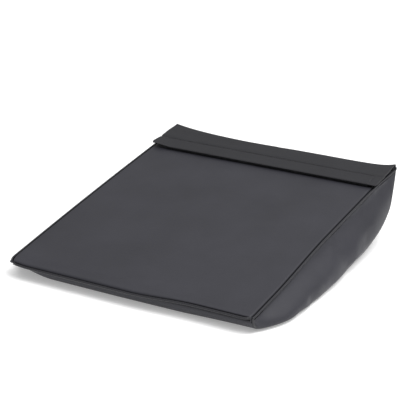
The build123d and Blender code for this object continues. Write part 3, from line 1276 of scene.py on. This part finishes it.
def stuffed_form(inset, cover, line, ceiling):
    """Closed form inside the cover, set in from it, flat under the board."""
    left = gusset_rows(-1, cover, line)
    right = gusset_rows(1, cover, line)
    rings = []
    for step in range(NOSE_END - 3, len(line) - 5):
        a, b = left[step][1:], right[step][1:]
        ring = list(reversed(a))
        ring += [a[0].lerp(b[0], t) for t in even(60)[1:-1]]
        ring += b
        ring += [under_point(1 - t, step, line, cover) for t in even(60)[1:-1]]
        rings.append(ring)
    bm = bmesh.new()
    add_closed_skin(bm, rings)
    bmesh.ops.recalc_face_normals(bm, faces=bm.faces)
    bm.normal_update()
    for vertex, normal in [(vertex, vertex.normal.copy()) for vertex in bm.verts]:
        vertex.co -= normal * inset
        lift = (vertex.co.z - NOSE) * math.cos(TILT) - (vertex.co.y - FRONT_Y) * math.sin(TILT)
        over = max(lift - ceiling, 0.0)
        vertex.co.z = max(vertex.co.z - over / math.cos(TILT), inset)
    return bm


class SLANT_OT_stuffing(bpy.types.Operator):
    """Stuffing: board, foam over it, and the inner bag of beads under it"""

    bl_idname = "slant.stuffing"
    bl_label = "Board, foam and beads"

    def execute(self, context):
        cover = context.scene.slant_cover
        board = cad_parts["slant_board"]
        finish_with(board, "plywood")
        line = underside_line(cover)
        ceiling = span("slant_board")[3] - 0.4 * MM
        for name, node, kind, slot, inset, top in (
            ("inner_bag", "liner_bag", "calico", "liner_cloth", 3.0 * MM, ceiling),
            ("beads", "bead_filling", "beads", "beads", 4.4 * MM, ceiling - 1 * MM),
        ):
            piece = mesh_object(name, stuffed_form(inset, cover, line, top))
            dress(piece, kind, slot, node)
            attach(piece, "cover")
        half, near, far, low, high = span("foam_pad")
        rows = []
        for s in spaced(far - near, 30):
            row = []
            for d in spaced(2 * half, 30):
                gap = min(s, far - near - s, d, 2 * half - d)
                row.append(on_face(d - half, near + s, high - 0.1 * MM - edge_roll(gap)))
            rows.append(row)
        foam = skin("foam_sheet", rows, (0, 0, 1))
        thicken(foam, high - low - 0.3 * MM)
        dress(foam, "foam", "foam", "foam_pad")
        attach(foam, "cover")
        return {"FINISHED"}


# ---- operators: stage ---------------------------------------------------------------------------


FLOOR_REACH = 6.0
CEILING_PLACE, SOFT_BOX_PLACE = (0.35, 0.1, 1.2), (0.75, -0.25, 1.30)
LIT_POINT = Vector((0, 0, 0.04))


class SLANT_OT_stage(bpy.types.Operator):
    """Pale floor, soft studio light and camera"""

    bl_idname = "slant.stage"
    bl_label = "Stage"

    def execute(self, context):
        stage = context.scene.slant_stage
        scene = bpy.context.scene
        scene.view_settings.view_transform = "Standard"
        bm = bmesh.new()
        across = [mix(-FLOOR_REACH, FLOOR_REACH, t) for t in even(8)]
        add_skin(bm, [[Vector((x, y, 0.0)) for y in across] for x in across])
        bmesh.ops.reverse_faces(bm, faces=bm.faces)
        floor = mesh_object("floor", bm)
        material, tree, surface, place = new_material(
            "opal_acrylic_lit_from_below", Roughness=0.9, Specular_IOR_Level=0.2
        )
        surface.inputs["Base Color"].default_value = linear("#e4e4e4")
        surface.inputs["Emission Color"].default_value = linear("#ffffff")
        surface.inputs["Emission Strength"].default_value = 0.3
        floor.data.materials.append(material)
        world = bpy.data.worlds.new("room")
        world.use_nodes = True
        background = world.node_tree.nodes["Background"]
        background.inputs["Color"].default_value = linear("#ffffff")
        background.inputs["Strength"].default_value = stage.world
        scene.world = world
        sky = bpy.data.lights.new("soft_ceiling", "SUN")
        sky.angle = math.radians(100)
        sky.energy = stage.ceiling
        key = bpy.data.lights.new("soft_box", "AREA")
        key.size = 0.9
        key.energy = stage.soft_box
        for light, place in ((sky, CEILING_PLACE), (key, SOFT_BOX_PLACE)):
            lamp = new_object(light.name, light)
            lamp.location = place
            aim = LIT_POINT - lamp.location
            lamp.rotation_euler = aim.to_track_quat("-Z", "Y").to_euler()
        camera = bpy.data.cameras.new("camera")
        camera.lens = stage.lens
        camera.sensor_width = 36
        camera.clip_start = 0.05
        camera.clip_end = 50
        holder = new_object("camera", camera)
        holder.location = stage.camera
        holder.rotation_euler = stage.turn
        scene.camera = holder
        return {"FINISHED"}


OPERATORS = (
    SLANT_OT_stage,
    SLANT_OT_face_panel,
    SLANT_OT_gussets,
    SLANT_OT_underside,
    SLANT_OT_piping,
    SLANT_OT_flap,
    SLANT_OT_tapes,
    SLANT_OT_stitching,
    SLANT_OT_stuffing,
)


class SLANT_PT_sidebar(bpy.types.Panel):
    """The pieces of the slant board, in the order they are made"""

    bl_label = "Slant board"
    bl_space_type = "VIEW_3D"
    bl_region_type = "UI"
    bl_category = "Slant board"

    def draw(self, context):
        for group, sizes in PROPERTY_GROUPS.items():
            box = self.layout.box()
            for name in sizes.__annotations__:
                box.prop(getattr(context.scene, group), name)
        for operator in OPERATORS:
            self.layout.operator(operator.bl_idname)


CLASSES = (*PROPERTY_GROUPS.values(), *OPERATORS, SLANT_PT_sidebar)


def register():
    for one in CLASSES:
        bpy.utils.register_class(one)
    for name, group in PROPERTY_GROUPS.items():
        setattr(bpy.types.Scene, name, bpy.props.PointerProperty(type=group))


def unregister():
    for name in PROPERTY_GROUPS:
        delattr(bpy.types.Scene, name)
    for one in reversed(CLASSES):
        bpy.utils.unregister_class(one)


def main():
    register()
    for operator in OPERATORS:
        family, action = operator.bl_idname.split(".")
        getattr(getattr(bpy.ops, family), action)()


if __name__ == "__main__":
    main()
